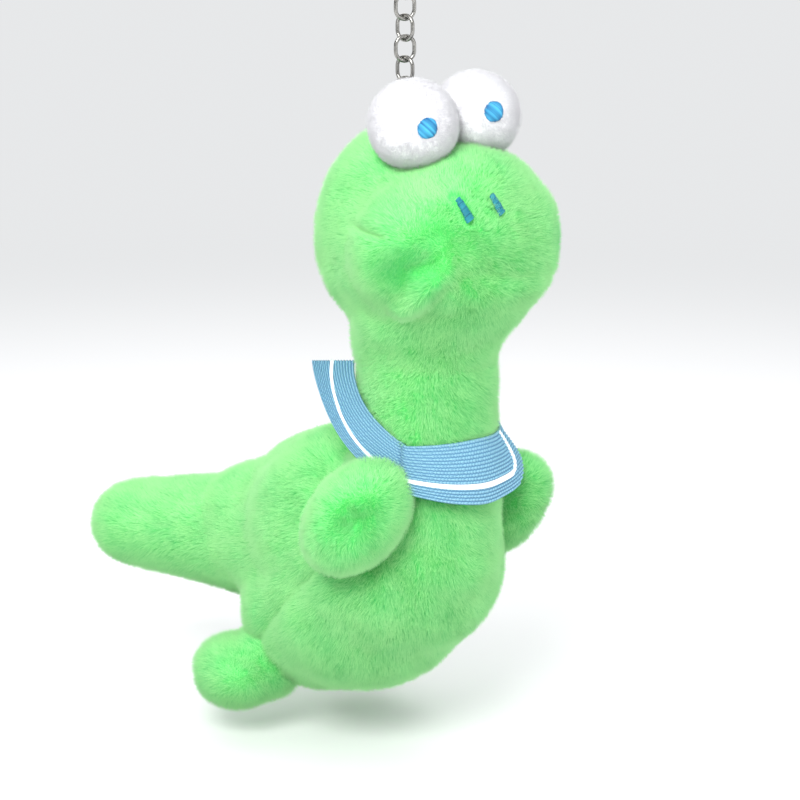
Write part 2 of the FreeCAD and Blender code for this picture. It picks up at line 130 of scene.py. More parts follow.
def fabric(name, deep, light, scale, rough=0.9, bump=0.25, sheen=0.0, tip=False):
    """Cloth whose colour wanders between two shades; with tip it also lightens towards the pile's ends."""
    material = bpy.data.materials.new(name)
    material.use_nodes = True
    tree = material.node_tree
    shader = tree.nodes["Principled BSDF"]
    where = node(tree, "ShaderNodeTexCoord")
    noise = node(tree, "ShaderNodeTexNoise")
    noise.inputs["Scale"].default_value = scale
    noise.inputs["Detail"].default_value = 4.0
    tree.links.new(where.outputs["Object"], noise.inputs["Vector"])
    ramp = node(tree, "ShaderNodeValToRGB")
    ramp.color_ramp.elements[0].position = 0.30
    ramp.color_ramp.elements[0].color = (*deep, 1)
    ramp.color_ramp.elements[1].position = 0.72
    ramp.color_ramp.elements[1].color = (*light, 1)
    if tip:
        along = node(tree, "ShaderNodeAttribute", attribute_name="tip")
        blend = node(tree, "ShaderNodeMath", operation="MULTIPLY_ADD")
        blend.inputs[1].default_value = 0.62
        tree.links.new(along.outputs["Fac"], blend.inputs[0])
        share = node(tree, "ShaderNodeMath", operation="MULTIPLY")
        share.inputs[1].default_value = 0.42
        tree.links.new(noise.outputs["Fac"], share.inputs[0])
        tree.links.new(share.outputs[0], blend.inputs[2])
        tree.links.new(blend.outputs[0], ramp.inputs["Fac"])
    else:
        tree.links.new(noise.outputs["Fac"], ramp.inputs["Fac"])
        fine = node(tree, "ShaderNodeTexNoise")
        fine.inputs["Scale"].default_value = scale * 12
        tree.links.new(where.outputs["Object"], fine.inputs["Vector"])
        relief = node(tree, "ShaderNodeBump")
        relief.inputs["Strength"].default_value = bump
        relief.inputs["Distance"].default_value = 0.0003
        tree.links.new(fine.outputs["Fac"], relief.inputs["Height"])
        tree.links.new(relief.outputs["Normal"], shader.inputs["Normal"])
    tree.links.new(ramp.outputs["Color"], shader.inputs["Base Color"])
    shader.inputs["Roughness"].default_value = rough
    shader.inputs["Specular IOR Level"].default_value = 0.15
    shader.inputs["Sheen Weight"].default_value = sheen
    shader.inputs["Sheen Tint"].default_value = (*[min(1.0, c * 1.6 + 0.1) for c in light], 1)
    shader.inputs["Sheen Roughness"].default_value = 0.5
    return material


def steel(name, colour, rough):
    material = bpy.data.materials.new(name)
    material.use_nodes = True
    tree = material.node_tree
    shader = tree.nodes["Principled BSDF"]
    where = node(tree, "ShaderNodeTexCoord")
    noise = node(tree, "ShaderNodeTexNoise")
    noise.inputs["Scale"].default_value = 900.0
    noise.inputs["Detail"].default_value = 6.0
    tree.links.new(where.outputs["Object"], noise.inputs["Vector"])
    spread = node(tree, "ShaderNodeMapRange")
    spread.inputs["To Min"].default_value = rough - 0.08
    spread.inputs["To Max"].default_value = rough + 0.14
    tree.links.new(noise.outputs["Fac"], spread.inputs["Value"])
    tree.links.new(spread.outputs["Result"], shader.inputs["Roughness"])
    tint = node(tree, "ShaderNodeValToRGB")
    tint.color_ramp.elements[0].color = (*[c * 0.72 for c in colour], 1)
    tint.color_ramp.elements[1].color = (*colour, 1)
    tree.links.new(noise.outputs["Fac"], tint.inputs["Fac"])
    tree.links.new(tint.outputs["Color"], shader.inputs["Base Color"])
    relief = node(tree, "ShaderNodeBump")
    relief.inputs["Strength"].default_value = 0.12
    relief.inputs["Distance"].default_value = 0.00005
    tree.links.new(noise.outputs["Fac"], relief.inputs["Height"])
    tree.links.new(relief.outputs["Normal"], shader.inputs["Normal"])
    shader.inputs["Metallic"].default_value = 1.0
    return material


def knit(name, deep, light):
    """Rib knit: cords along the band with slanting stitches, from the mesh's along and across; the valleys between
    the cords are darkened as painted shade.
    """
    material = bpy.data.materials.new(name)
    material.use_nodes = True
    tree = material.node_tree
    shader = tree.nodes["Principled BSDF"]

    def value(operation, first, second=None, third=None):
        made = node(tree, "ShaderNodeMath", operation=operation)
        for socket, given in zip(made.inputs, (first, second, third)):
            if given is None:
                continue
            if isinstance(given, float):
                socket.default_value = given
            else:
                tree.links.new(given, socket)
        return made.outputs[0]

    along = node(tree, "ShaderNodeAttribute", attribute_name="along").outputs["Fac"]
    across = node(tree, "ShaderNodeAttribute", attribute_name="across").outputs["Fac"]
    inside = value("ABSOLUTE", value("SUBTRACT", value("MULTIPLY", value("FRACT", across), 2.0), 1.0))
    parity = value("MODULO", value("FLOOR", across), 2.0)
    wander = node(tree, "ShaderNodeTexNoise", noise_dimensions="1D")
    wander.inputs["Scale"].default_value = 0.9
    tree.links.new(along, wander.inputs["W"])
    turned = value("MULTIPLY_ADD", parity, 0.5, value("MULTIPLY", wander.outputs["Fac"], 1.5))
    slant = value("ADD", value("MULTIPLY_ADD", inside, 0.55, value("DIVIDE", along, 0.85)), turned)
    stitch = value("MULTIPLY_ADD", value("SINE", value("MULTIPLY", slant, 2 * math.pi)), 0.5, 0.5)
    # painted shade: the colour darkens in the valleys between the cords
    valley_painted_shade = value("POWER", inside, 2.5)
    tone = value("MULTIPLY_ADD", stitch, 0.42, value("MULTIPLY_ADD", valley_painted_shade, -0.62, 0.58))
    ramp = node(tree, "ShaderNodeValToRGB")
    ramp.color_ramp.elements[0].color = (*deep, 1)
    ramp.color_ramp.elements[1].color = (*light, 1)
    tree.links.new(tone, ramp.inputs["Fac"])
    tree.links.new(ramp.outputs["Color"], shader.inputs["Base Color"])
    relief = node(tree, "ShaderNodeBump")
    relief.inputs["Strength"].default_value = 0.5
    relief.inputs["Distance"].default_value = 0.0001
    tree.links.new(tone, relief.inputs["Height"])
    tree.links.new(relief.outputs["Normal"], shader.inputs["Normal"])
    shader.inputs["Roughness"].default_value = 0.7
    shader.inputs["Specular IOR Level"].default_value = 0.2
    return material


def thread(name, deep, light):
    """Embroidery thread: each stitch has a shade of its own, from the mesh's 'tone', which on the pupils also holds a
    painted highlight in the middle and painted shade at the rim.
    """
    material = bpy.data.materials.new(name)
    material.use_nodes = True
    tree = material.node_tree
    shader = tree.nodes["Principled BSDF"]
    tone = node(tree, "ShaderNodeAttribute", attribute_name="tone")
    ramp = node(tree, "ShaderNodeValToRGB")
    ramp.color_ramp.elements[0].color = (*deep, 1)
    ramp.color_ramp.elements[1].color = (*light, 1)
    tree.links.new(tone.outputs["Fac"], ramp.inputs["Fac"])
    tree.links.new(ramp.outputs["Color"], shader.inputs["Base Color"])
    where = node(tree, "ShaderNodeTexCoord")
    strands = node(tree, "ShaderNodeTexNoise")
    strands.inputs["Scale"].default_value = 9000.0
    tree.links.new(where.outputs["Object"], strands.inputs["Vector"])
    relief = node(tree, "ShaderNodeBump")
    relief.inputs["Strength"].default_value = 0.3
    relief.inputs["Distance"].default_value = 0.00005
    tree.links.new(strands.outputs["Fac"], relief.inputs["Height"])
    tree.links.new(relief.outputs["Normal"], shader.inputs["Normal"])
    shader.inputs["Roughness"].default_value = 0.5
    shader.inputs["Specular IOR Level"].default_value = 0.3
    return material


GREEN_SKIN = fabric("green_backing", (0.10, 0.64, 0.15), (0.15, 0.76, 0.20), 60, bump=0.4)
GREEN_PILE = fabric("green_pile", (0.13, 0.73, 0.21), (0.42, 0.97, 0.38), 110, sheen=0.2, tip=True)
WHITE_SKIN = fabric("white_backing", (0.93, 0.93, 0.94), (0.97, 0.97, 0.97), 120)
WHITE_PILE = fabric("white_pile", (0.81, 0.81, 0.84), (0.85, 0.85, 0.87), 150, sheen=0.1, tip=True)
BLUE_THREAD = thread("blue_thread", (0.002, 0.065, 0.23), (0.085, 0.50, 0.76))
DARK_THREAD = thread("dark_thread", (0.004, 0.09, 0.15), (0.028, 0.30, 0.37))
BAND_BLUE = knit("band_blue", (0.010, 0.095, 0.23), (0.25, 0.475, 0.59))
BAND_WHITE = fabric("band_white", (0.78, 0.84, 0.90), (0.93, 0.95, 0.97), 700, rough=0.7, bump=0.4)
CORD = fabric("loop_cord", (0.30, 0.72, 0.33), (0.50, 0.90, 0.50), 900, rough=0.8, bump=0.6)
STEEL = steel("chain_steel", (0.36, 0.355, 0.335), 0.22)
RING_STEEL = steel("ring_steel", (0.66, 0.65, 0.63), 0.2)


# ------------------------------------------------------------------ soft forms

def egg(centre, radii, turn=(0, 0, 0), basis=None):
    """Points and faces of one stuffed lobe: an ellipsoid in plush millimetres."""
    rings, spokes = 40, 56
    theta = np.linspace(0, math.pi, rings + 1)
    phi = np.linspace(0, 2 * math.pi, spokes, endpoint=False)
    t, p = np.meshgrid(theta[1:-1], phi, indexing="ij")
    body = np.stack([np.sin(t) * np.cos(p), np.sin(t) * np.sin(p), np.cos(t)], -1).reshape(-1, 3)
    points = np.vstack([body, [[0, 0, 1], [0, 0, -1]]]) * np.array(radii, float)
    if basis is not None:
        matrix = np.array(basis, float).T
    else:
        turns = [Matrix.Rotation(math.radians(a), 3, axis) for a, axis in zip(turn, "XYZ")]
        matrix = np.array(turns[2] @ turns[1] @ turns[0])
    points = points @ matrix.T + np.array(centre, float)
    faces = []
    for i in range(rings - 2):
        for j in range(spokes):
            k = (j + 1) % spokes
            faces.append((i * spokes + j, (i + 1) * spokes + j, (i + 1) * spokes + k, i * spokes + k))
    top, bottom = len(body), len(body) + 1
    for j in range(spokes):
        k = (j + 1) % spokes
        faces.append((top, j, k))
        faces.append((bottom, (rings - 2) * spokes + k, (rings - 2) * spokes + j))
    return points, faces


def tube_lobe(start, end, start_radius, end_radius):
    """A closed stuffed tube between two points."""
    start, end = np.array(start, float), np.array(end, float)
    axis = unit(end - start)
    side = unit(np.cross(axis, [0.3, 1, 0.2]))
    up = np.cross(axis, side)
    count = 48
    angles = np.linspace(0, 2 * math.pi, count, endpoint=False)
    circle = np.cos(angles)[:, None] * side + np.sin(angles)[:, None] * up
    points = np.vstack([start + circle * start_radius, end + circle * end_radius, [start], [end]])
    faces = []
    for j in range(count):
        k = (j + 1) % count
        faces.append((j, k, count + k, count + j))
        faces.append((2 * count, k, j))
        faces.append((2 * count + 1, count + j, count + k))
    return points, faces


def stuffed(name, lobes, voxel=1.15, smooth=14):
    """Melts the lobes into one skin."""
    points, faces, base = [], [], 0
    for lobe_points, lobe_faces in lobes:
        points.append(lobe_points)
        faces += [tuple(i + base for i in face) for face in lobe_faces]
        base += len(lobe_points)
    thing = mesh_object(name, np.vstack(points), faces)
    remesh = thing.modifiers.new("melt", "REMESH")
    remesh.mode = "VOXEL"
    remesh.voxel_size = voxel / 1000.0
    remesh.use_smooth_shade = True
    relax = thing.modifiers.new("relax", "SMOOTH")
    relax.factor = 0.5
    relax.iterations = smooth
    return apply_modifiers(thing)


def press(thing, amount):
    """Moves the skin along its normals by amount(points), in millimetres."""
    points, normals = coordinates(thing)
    move_points(thing, points + normals * np.asarray(amount(points))[:, None])


def distance_to(points, path):
    """Distance from each point to a line through the places in 'path'."""
    path = np.array(path, float)
    nearest = np.full(len(points), 1e9)
    for start, end in zip(path[:-1], path[1:]):
        along = end - start
        share = np.clip(((points - start) @ along) / (along @ along), 0, 1)
        nearest = np.minimum(nearest, np.linalg.norm(points - (start + share[:, None] * along), axis=1))
    return nearest


def puff(thing, seams, cap=1.3, frames=12, grow=10.0):
    """Swells a skin like stuffed cloth: a pressure simulation while its seams are held in."""
    points, normals = coordinates(thing)
    copy = bpy.data.objects.new(thing.name + "_sim", thing.data.copy())
    bpy.context.collection.objects.link(copy)
    copy.data.vertices.foreach_set("co", (points * grow / 1000.0).ravel())
    held = copy.vertex_groups.new(name="held")
    near = np.min([distance_to(points, seam) for seam in seams], axis=0)
    for index in np.nonzero(near < 1.4)[0].tolist():
        held.add([index], 1.0, "REPLACE")
    cloth = copy.modifiers.new("cloth", "CLOTH")
    cloth.settings.quality = 4
    cloth.settings.mass = 0.15
    cloth.settings.tension_stiffness = 12
    cloth.settings.compression_stiffness = 12
    cloth.settings.bending_stiffness = 0.4
    cloth.settings.use_pressure = True
    cloth.settings.uniform_pressure_force = 4.0
    cloth.settings.vertex_group_mass = "held"
    cloth.settings.effector_weights.gravity = 0.0
    cloth.point_cache.frame_start = 1
    cloth.point_cache.frame_end = frames
    for frame_number in range(1, frames + 1):
        bpy.context.scene.frame_set(frame_number)
    graph = bpy.context.evaluated_depsgraph_get()
    after = np.empty(len(points) * 3)
    copy.evaluated_get(graph).data.vertices.foreach_get("co", after)
    moved = after.reshape(-1, 3) * 1000.0 / grow - points
    size = np.linalg.norm(moved, axis=1, keepdims=True)
    moved *= np.minimum(1.0, cap / np.maximum(size, 1e-6))
    move_points(thing, points + moved)
    print("puffed", thing.name, len(points), "mean", size.mean().round(2), "max", size.max().round(2))
    bpy.data.objects.remove(copy)
    bpy.context.scene.frame_set(1)


def crease(points, path, width, depth):
    """How far a sewn line through 'path' pulls the skin in, and None of it far away."""
    return -depth * np.exp(-((distance_to(points, path) / width) ** 2))


# ------------------------------------------------------------------ pile

def pile(name, skin, per_mm2, length, width, comb, seed, material, body, thin=None, wild=0.17, shade=None):
    """Plants tapered strands on a skin and splits them into pieces that ride the body."""
    random = np.random.default_rng(seed)
    points, normals = coordinates(skin)
    mesh = skin.data
    mesh.calc_loop_triangles()
    tris = np.empty(len(mesh.loop_triangles) * 3, np.int32)
    mesh.loop_triangles.foreach_get("vertices", tris)
    tris = tris.reshape(-1, 3)
    a, b, c = points[tris[:, 0]], points[tris[:, 1]], points[tris[:, 2]]
    area = np.linalg.norm(np.cross(b - a, c - a), axis=1) / 2
    count = int(area.sum() * per_mm2 * (1.0))
    pick = random.choice(len(tris), count, p=area / area.sum())
    u, v = random.random((2, count))
    flip = u + v > 1
    u[flip], v[flip] = 1 - u[flip], 1 - v[flip]
    w = 1 - u - v
    root = a[pick] * w[:, None] + b[pick] * u[:, None] + c[pick] * v[:, None]
    up = unit(normals[tris[pick, 0]] * w[:, None] + normals[tris[pick, 1]] * u[:, None]
              + normals[tris[pick, 2]] * v[:, None])
    size = length * random.uniform(0.72, 1.12, count)
    if thin is not None:
        size = size * thin(root)
        keep = size > 0.25
        root, up, size = root[keep], up[keep], size[keep]
        count = len(root)
    lean = comb(root)
    lean = lean - (lean * up).sum(1, keepdims=True) * up
    tufts = np.stack([Waves(4.5, seed + i)(root) for i in (1, 2, 3)], 1) * 0.14
    tufts += np.stack([Waves(11.0, seed + i)(root) for i in (4, 5, 6)], 1) * 0.16
    stray = random.normal(size=(count, 3)) * wild
    heading = unit(up + lean + tufts + stray)
    across = unit(np.cross(heading, random.normal(size=(count, 3))))
    third = np.cross(heading, across)
    half = width / 2 * random.uniform(0.7, 1.25, count)[:, None] * 1.0
    base = root - up * 0.25
    corners = [base + (across * math.cos(t) + third * math.sin(t)) * half for t in (0, 2.094, 4.189)]
    end = root + heading * size[:, None]
    strand_points = np.stack(corners + [end], 1)
    radial = [across * math.cos(t) + third * math.sin(t) for t in (0, 2.094, 4.189)]
    shading = np.stack([unit(up * SOFT + r * (1 - SOFT)) for r in radial + [heading]], 1)
    pattern = np.array([(0, 2, 1), (0, 1, 3), (1, 2, 3), (2, 0, 3)])
    # shade, where given, returns less than 1 to darken the strands' colour: painted shade in hollows and dimples
    painted_shade_factor = np.ones(count) if shade is None else shade(root)
    share = 48000
    made = []
    for number, start in enumerate(range(0, count, share), start=1):
        group = strand_points[start:start + share]
        triangles = pattern[None] + (np.arange(len(group)) * 4)[:, None, None]
        thing = big_mesh("%s_%d" % (name, number), group.reshape(-1, 3), triangles.reshape(-1, 3))
        # 'tip' runs from 0 at the root to 1 at the end, times that painted shade
        tip = thing.data.attributes.new("tip", "FLOAT", "POINT")
        ends = np.array([0.0, 0.0, 0.0, 1.0]) * painted_shade_factor[start:start + share, None]
        tip.data.foreach_set("value", ends.ravel().astype(np.float32))
        thing.data.polygons.foreach_set("use_smooth", [True] * len(thing.data.polygons))
        thing.data.normals_split_custom_set_from_vertices(shading[start:start + share].reshape(-1, 3))
        thing.data.materials.append(material)
        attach(thing, body)
        made.append(thing)
    return made


def dress(thing, material, body):
    thing.data.materials.clear()
    thing.data.materials.append(material)
    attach(thing, body)
    return thing


def downwards(points):
    """Brushed pile: it lies down and a little backwards."""
    flow = np.zeros_like(points)
    flow[:, 2] = -0.42
    flow[:, 1] = 0.12
    return flow


def tailwards(points):
    flow = np.zeros_like(points)
    flow[:, 1] = 0.45
    flow[:, 0] = -0.12
    return flow


def body_flow(points):
    """Down the neck and belly, then back along the rump to the tail."""
    back = np.clip((points[:, 1] - 18) / 30, 0, 1)[:, None]
    return downwards(points) * (1 - back) + tailwards(points) * back


def chain_of_eggs(stations, count):
    """A smooth stuffed tube: eggs close together between stations of (centre, radii)."""
    stations = np.array([tuple(centre) + tuple(radii) for centre, radii in stations], float)
    at = np.linspace(0, len(stations) - 1, count)
    values = np.stack([np.interp(at, np.arange(len(stations)), column) for column in stations.T], 1)
    for _ in range(2):
        values[1:-1] = (values[:-2] + values[1:-1] * 2 + values[2:]) / 4
    return [egg(row[:3], row[3:]) for row in values]


def shrink(radii, by=PILE):
    return tuple(r - by for r in radii)


# the head: a tall cranium, a wide pillow of a muzzle and a small chin under it
MOUTH = [(-22, -19.5, 108.5), (-14.5, -24.5, 106.3), (0, -26.9, 105), (12, -25, 103.3),
         (23.5, -17.8, 101), (27, -9, 103)]
CHEEKS = [[(side * 21.7, 3.1, 115.9), (side * 24.6, -7.0, 115.2), (side * 25.6, -16.0, 114.5)] for side in (-1, 1)]
JOWLS = [[(side * 15.5, -24.6, 107.8), (side * 18.5, -20.5, 103.8), (side * 18.8, -13.5, 99.0)] for side in (-1, 1)]
HOLLOWS = [[(side * 21.5, -21.0, 110.8), (side * 23.5, -17.0, 107.8)] for side in (-1, 1)]
BACK_OF_HEAD = [(0, 16, 133), (0, 26, 122), (0, 28.5, 108), (0, 22, 92), (0, 17, 84)]
head = stuffed("head_skin", [
    egg((0, 6.2, 111.3), shrink((21.8, 21.2, 25.5))),
    egg((0.3, -9.8, 109.8), shrink((28.9, 17.8, 19.8))),
    egg((2.0, -9.6, 119.6), shrink((19.5, 14.5, 13.0))),
    egg((0, -1.0, 110.0), shrink((24.2, 18.0, 22.0))),
    egg((0.6, -12.4, 101.6), shrink((23.3, 15.8, 8.0))),
    egg((0.3, -7.0, 97.0), shrink((20.6, 17.2, 10.4))),
    egg((0, -2.4, 93.0), shrink((19.4, 18.0, 12.4))),
    tube_lobe((0, 0, 81), (0, 0.5, 95), 14.8, 15.2),
], smooth=38)
head_lumps = Waves(24, 41)


def head_form(points):
    """How the sewing and the stuffing shape the head."""
    shape = crease(points, MOUTH, 1.9, 0.5) + crease(points, BACK_OF_HEAD, 1.6, 0.7) + head_lumps(points) * 0.25 + 0.7
    for cheek, jowl, hollow, strong in zip(CHEEKS, JOWLS, HOLLOWS, (1.0, 0.3)):
        shape += crease(points, cheek, 1.0, 1.9)
        shape += (crease(points, hollow, 4.6, 2.2) - crease(points, jowl, 2.1, 2.3)) * strong
    return shape


press(head, head_form)
puff(head, [MOUTH, BACK_OF_HEAD] + CHEEKS, cap=0.7)
dress(head, GREEN_SKIN, "head")
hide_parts("head_side_right", "head_side_left", "muzzle_panel", "chin_panel", "head_filling")

EYES = {"right": np.array([-9.85, -5.9, 137.7]), "left": np.array([9.75, -5.6, 138.1])}
LOOKS = {"right": unit([-0.40, -0.916, 0.031]), "left": unit([-0.31, -0.93, 0.19])}


NOSTRILS = {"right": (np.array([-9.9, -19.8, 121.4]), np.array([-9.0, -22.3, 117.2])),
            "left": (np.array([-2.0, -20.8, 121.6]), np.array([-1.0, -22.8, 117.8]))}


def head_thin(points):
    """Pile stops under the eyes, and is short round the stitched nostrils."""
    keep = np.ones(len(points))
    for centre in EYES.values():
        keep *= (np.linalg.norm(points - centre, axis=1) > 10.1)
    for top, bottom in NOSTRILS.values():
        near = -crease(points, [top, bottom], 1.9, 1.0)
        keep *= 1 - 0.85 * (near > 0.45)
    for seam in CHEEKS + [BACK_OF_HEAD]:
        keep *= 1 + crease(points, seam, 0.8, 0.65)
    return keep * (1 + crease(points, MOUTH, 1.2, 0.2))


def head_comb(points):
    flow = np.zeros_like(points)
    flow[:, 1] = 0.30
    flow[:, 2] = -0.25
    front = points[:, 1] < -6
    flow[front, 1] = 0.42
    flow[front, 2] = -0.10
    return flow


def head_painted_shade(points):
    """Painted shade: the pile's colour is darkened in the hollows under the cheeks."""
    tone = np.ones(len(points))
    for hollow in HOLLOWS:
        tone += crease(points, hollow, 5.5, 0.62)
    return tone


pile("head_pile", head, 22, 2.4, 0.15, head_comb, 100, GREEN_PILE, "head", head_thin,
     wild=0.14, shade=head_painted_shade)

# the eyes: two white velvet balls
for word, centre in EYES.items():
    ball = stuffed("eye_skin_" + word, [egg(centre, (9.65, 9.65, 9.65))], voxel=0.6, smooth=10)
    dress(ball, WHITE_SKIN, "head")
    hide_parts("eye_cover_" + word, "eye_filling_" + word)
    look = LOOKS[word]

    def eye_thin(points, centre=centre, look=look):
        away = points - centre
        off = np.linalg.norm(away - (away @ look)[:, None] * look, axis=1)
        return ~((off < 2.35) & (away @ look > 0)) * 1.0

    pile("eye_pile_" + word, ball, 30, 1.25, 0.12, lambda p: np.zeros_like(p), 200 + len(word), WHITE_PILE,
         "head", eye_thin, wild=0.42)


def threads(name, lines, radius, body, node_name, material, tones):
    """Satin stitches: each line of points becomes a short tapering thread."""
    points, faces, base = [], [], 0
    for line in lines:
        line = np.asarray(line, float)
        ahead = unit(np.gradient(line, axis=0))
        side = unit(np.cross(ahead, [0.13, 0.2, 1.0]))
        up = np.cross(ahead, side)
        taper = np.full(len(line), 1.0)
        taper[0] = taper[-1] = 0.45
        sides = 6
        for i in range(len(line)):
            for s in range(sides):
                t = 2 * math.pi * s / sides
                points.append(line[i] + (side[i] * math.cos(t) + up[i] * math.sin(t)) * radius * taper[i])
        for i in range(len(line) - 1):
            for s in range(sides):
                n = (s + 1) % sides
                faces.append((base + i * sides + s, base + i * sides + n,
                              base + (i + 1) * sides + n, base + (i + 1) * sides + s))
        faces.append(tuple(base + s for s in reversed(range(sides))))
        faces.append(tuple(base + (len(line) - 1) * sides + s for s in range(sides)))
        base += len(line) * sides
    thing = mesh_object(name, np.array(points), faces)
    tone = thing.data.attributes.new("tone", "FLOAT", "POINT")
    shades = [np.repeat(values, 6) for values in tones]
    tone.data.foreach_set("value", np.concatenate(shades).astype(np.float32))
    dress(thing, material, body)
    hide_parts(node_name)
    return thing


for word, centre in EYES.items():
    look = LOOKS[word]
    upright = unit(np.array([0.12, 0, 1.0]) - look * look[2])
    level = np.cross(look, upright)
    side = unit(level + upright * 0.75)
    up = unit(upright - level * 0.75)
    lines, tones = [], []
    for height in np.arange(-2.2, 2.21, 0.2):
        reach = 2.3 * math.sqrt(max(0.02, 1 - (height / 2.34) ** 2))
        steps = np.linspace(-reach, reach, 11) + rng.normal() * 0.07
        raised = 0.25 + 0.75 * np.cos(np.linspace(-1.45, 1.45, 11)) * math.cos(height * 0.55)
        flat = np.array([side * s + up * height for s in steps])
        lines.append(centre + unit(look * 9.75 + flat) * (9.75 + raised)[:, None])
        # painted highlight in the middle of each pupil and painted shade towards its rim, plus a random shade per
        # stitch
        painted_highlight = 0.28 + 0.34 * np.cos(np.linspace(-1.5, 1.5, 11)) * math.cos(height * 0.6)
        tones.append(np.clip(painted_highlight + rng.uniform(-0.28, 0.28), 0, 1))
    threads("pupil_stitches_" + word, lines, 0.17, "head", "pupil_" + word, BLUE_THREAD, tones)

head_points, head_normals = coordinates(head)


def on_head(point):
    """Nearest place on the head's skin and its normal."""
    index = np.argmin(np.linalg.norm(head_points - point, axis=1))
    return head_points[index], head_normals[index]


for word, (top, bottom) in NOSTRILS.items():
    lines, tones = [], []
    for share in np.linspace(0, 1, 27):
        place = top * (1 - share) + bottom * share
        spot, normal = on_head(place)
        down = unit(bottom - top)
        side = unit(np.cross(down, normal))
        wide = 0.74 + 0.40 * share + rng.uniform(-0.05, 0.09)
        centre = spot + normal * ((place - spot) @ normal * 0)
        centre = centre + (place - centre) - normal * ((place - centre) @ normal)
        steps = np.linspace(-wide, wide, 5)
        lift = 1.5 + 0.35 * np.cos(np.linspace(-1.5, 1.5, 5))
        lines.append(np.array([centre + side * s + down * 0.25 * s + normal * h for s, h in zip(steps, lift)]))
        tones.append(np.full(5, 0.45 - 0.4 * (len(lines) % 7 == 0) + rng.uniform(-0.2, 0.25)))
    threads("nostril_stitches_" + word, lines, 0.19, "head", "nostril_" + word, DARK_THREAD, tones)

# ------------------------------------------------------------------ torso, limbs and tail

SIDE_SEAM = {side: [(side * 15, -2, 50), (side * 22, 8, 36), (side * 24, 22, 24), (side * 20, 38, 8)]
             for side in (-1, 1)}
SPINE = [(0, 16, 78), (0, 17.5, 66), (0, 27, 60), (0, 42, 57), (-2, 56, 49)]
torso = stuffed("torso_skin", [
    tube_lobe((0, 0, 30), (0, 0, 88), 14.8, 13.9),
    egg((0, 12.0, 30.0), shrink((25.8, 25.3, 23.0))),
    egg((0, 21.5, 19.0), shrink((25.2, 24.5, 21.5))),
    egg((0, 28.0, 38.0), shrink((23.0, 28.0, 22.5)), (-25, 0, 0)),
    egg((0, 35.0, 14.5), shrink((23.2, 19.6, 20.5))),
    egg((0, 38.0, 38.0), shrink((17.5, 20.5, 18.3))),
    egg((-3.0, 52.0, 30.3), shrink((15.8, 23.0, 17.4)), (0, 0, 20)),
    egg((-0.5, 45.0, 29.5), shrink((19.8, 21.0, 17.0)), (0, 0, 10)),
    egg((0, 4.0, 48.0), shrink((21.0, 18.0, 14.0))),
], smooth=80)
torso_lumps = Waves(30, 51)
press(torso, lambda p: crease(p, SIDE_SEAM[-1], 2.2, 1.3) + crease(p, SIDE_SEAM[1], 2.2, 1.3) + crease(p, SPINE, 1.8, 0.8)
      + torso_lumps(p) * 0.35 + 1.1)
puff(torso, [SIDE_SEAM[-1], SIDE_SEAM[1], SPINE], cap=0.8)
dress(torso, GREEN_SKIN, "torso")
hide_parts("torso_side_right", "torso_side_left", "belly_panel", "torso_filling")


def torso_thin(points):
    inside_head = points[:, 2] > 86
    seams = crease(points, SIDE_SEAM[-1], 1.1, 0.4) + crease(points, SIDE_SEAM[1], 1.1, 0.4)
    seams += crease(points, SPINE, 1.1, 0.3)
    return (1 + seams) * ~inside_head


pile("torso_pile", torso, 20, 2.5, 0.155, body_flow, 300, GREEN_PILE, "torso", torso_thin)

ARMS = {"right": ((-25.3, -3.9, 49.0), (0.468, -0.42, 0.777), (15.6, 11.2, 11.2)),
        "left": ((23.9, -2.5, 43.5), (0.34, -0.38, 0.86), (13.8, 10.6, 9.8))}
for word, side in (("right", -1), ("left", 1)):
    place, lengthwise, half = ARMS[word]
    middle = np.array(place)
    long_way = unit(lengthwise)
    out = unit(np.array([side * 0.85, -0.45, -0.12]))
    out = unit(out - long_way * (out @ long_way))
    third = np.cross(long_way, out)
    arm = stuffed("arm_skin_" + word, [
        egg(middle, shrink(half), basis=(long_way, out, third)),
        egg((side * 17.0, 0.5, 47.0), (7.5, 7.0, 8.0)),
    ], voxel=0.9, smooth=8)
    dimple = [middle + out * 9.0 + long_way * k for k in (-1.5, 1.5)]
    press(arm, lambda p: crease(p, dimple, 4.5, 2.6) + 0.25)
    dress(arm, GREEN_SKIN, "arm_" + word)
    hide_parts("arm_cover_" + word, "arm_filling_" + word)

    def arm_comb(points, out=out, middle=middle, long_way=long_way):
        away = points - middle
        away = away - (away @ out)[:, None] * out
        return away / 14.0 + np.array([0, 0, -0.10])

    # the shade argument darkens the pile's colour in the arm's dimple: painted shade
    pile("arm_pile_" + word, arm, 22, 2.4, 0.15, arm_comb, 400 + side * 20, GREEN_PILE, "arm_" + word,
         lambda p, dimple=dimple: 1 + crease(p, dimple, 2.0, 0.35),
         shade=lambda p, dimple=dimple: 1 + crease(p, dimple, 3.6, 0.7))

    foot = stuffed("foot_skin_" + word, [
        egg((side * 21.3, 45.8, -0.9), shrink((10.9, 12.6, 9.4)), (0, 0, 20 * side)),
        egg((side * 16.0, 41.0, 1.5), (8.5, 8.0, 8.0)),
        egg((side * 13.0, 39.0, 6.0), (7.0, 7.0, 8.0)),
    ], voxel=0.9, smooth=8)
    press(foot, lambda p: 0.2 - 1.2 * np.exp(-(((p[:, 2] + 2.0) / 1.3) ** 2)) * (p[:, 1] > 50))
    dress(foot, GREEN_SKIN, "foot_" + word)
    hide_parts("foot_upper_" + word, "foot_sole_" + word, "foot_filling_" + word)

    def foot_comb(points, side=side):
        away = points - np.array([side * 14.0, 36.0, 0.0])
        return unit(away) * 0.25

    pile("foot_pile_" + word, foot, 22, 2.6, 0.15, foot_comb, 500 + side * 20, GREEN_PILE, "foot_" + word,
         wild=0.30)

